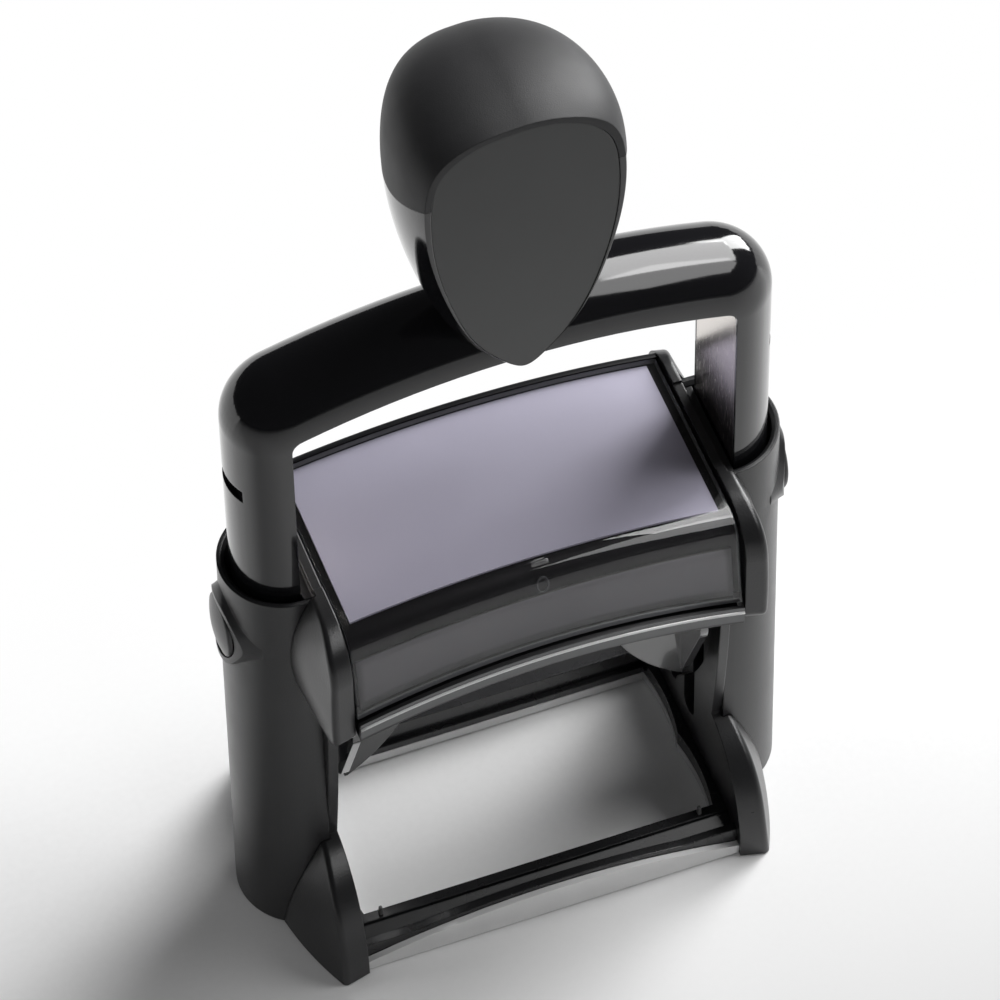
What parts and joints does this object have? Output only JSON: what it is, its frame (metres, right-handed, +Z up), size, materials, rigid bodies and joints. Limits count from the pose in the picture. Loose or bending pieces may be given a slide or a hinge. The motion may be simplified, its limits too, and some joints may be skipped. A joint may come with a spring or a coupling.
{
  "type": "self-inking stamp",
  "caption": "Self-inking text stamp with a yoke handle and an egg-shaped knob: pressing it turns the inked plate over and down onto the paper inside a clear positioning frame.",
  "frame": {"origin": "middle of the footprint, on the paper", "axes": "+X along the text plate, -Y to the front where the pad tray slides out, +Z up"},
  "size_m": [0.0932, 0.0482, 0.1816],
  "materials": {
    "frame_plastic": "black, semi-gloss with a fine grain",
    "column_plastic": "black, fine matte grain",
    "rail_plastic": "black, satin",
    "clear_base_plastic": "clear moulded plastic",
    "inner_plastic": "black, matte",
    "printed_card": "lavender-grey printed card",
    "grey_sheet": "dark grey smooth sheet",
    "yoke_plastic": "black, high gloss on the bar, satin on the legs",
    "polished_steel": "brushed and polished",
    "spring_steel": "drawn wire",
    "knob_gloss": "black, high gloss",
    "knob_soft": "black, soft-touch matte",
    "badge_grey": "dark grey, smooth matte",
    "foam": "cream foam",
    "stamp_rubber": "brick-red stamp rubber",
    "tray_plastic": "black, satin",
    "ink_felt": "inked felt",
    "button_plastic": "black, semi-gloss",
    "clear_hood_plastic": "clear smoked plastic, glossy"
  },
  "bodies": {
    "housing": {"left_side_frame": "frame_plastic", "right_side_frame": "frame_plastic", "left_column_cover": "column_plastic", "right_column_cover": "column_plastic", "base_frame": "rail_plastic", "positioning_frame": "clear_base_plastic", "pad_bridge": "inner_plastic", "index_card": "printed_card", "front_label": "grey_sheet"},
    "handle": {"yoke": "yoke_plastic", "left_side_plate": "polished_steel", "right_side_plate": "polished_steel", "left_axle_pin": "polished_steel", "right_axle_pin": "polished_steel", "left_return_spring": "spring_steel", "right_return_spring": "spring_steel", "knob_body": "knob_gloss", "knob_cap": "knob_soft", "badge_plate": "badge_grey"},
    "carriage": {"plate_carrier": "inner_plastic", "left_turn_arm": "inner_plastic", "right_turn_arm": "inner_plastic", "cushion": "foam", "text_plate": "stamp_rubber"},
    "tray": {"pad_tray": "tray_plastic", "ink_pad": "ink_felt"},
    "left_button": {"left_lock_button": "button_plastic"},
    "right_button": {"right_lock_button": "button_plastic"},
    "cover": {"hood": "clear_hood_plastic"}
  },
  "joints": [
    {"name": "handle_press", "type": "slide", "parent": "housing", "child": "handle", "axis": [0, 0, -1], "range_m": [0, 0.035], "stiffness_N_per_m": 400, "springref_m": -0.03, "deforming": ["left_return_spring", "right_return_spring"]},
    {"name": "plate_flip", "type": "hinge", "parent": "handle", "child": "carriage", "pos_m": [0, 0, 0.0472], "axis": [1, 0, 0], "range_deg": [0, 180]},
    {"name": "tray_slide", "type": "slide", "parent": "housing", "child": "tray", "axis": [0, -1, 0], "range_m": [0, 0.046]},
    {"name": "left_lock_press", "type": "slide", "parent": "housing", "child": "left_button", "axis": [1, 0, 0], "range_m": [0, 0.0016], "stiffness_N_per_m": 500, "springref_m": -0.001},
    {"name": "right_lock_press", "type": "slide", "parent": "housing", "child": "right_button", "axis": [-1, 0, 0], "range_m": [0, 0.0016], "stiffness_N_per_m": 500, "springref_m": -0.001},
    {"name": "hood_slide", "type": "slide", "parent": "housing", "child": "cover", "axis": [0, -1, 0], "range_m": [0, 0.04]}
  ],
  "couplings": [
    {"joint": "plate_flip", "follows": "handle_press", "rad_per_m": 89.7}
  ]
}
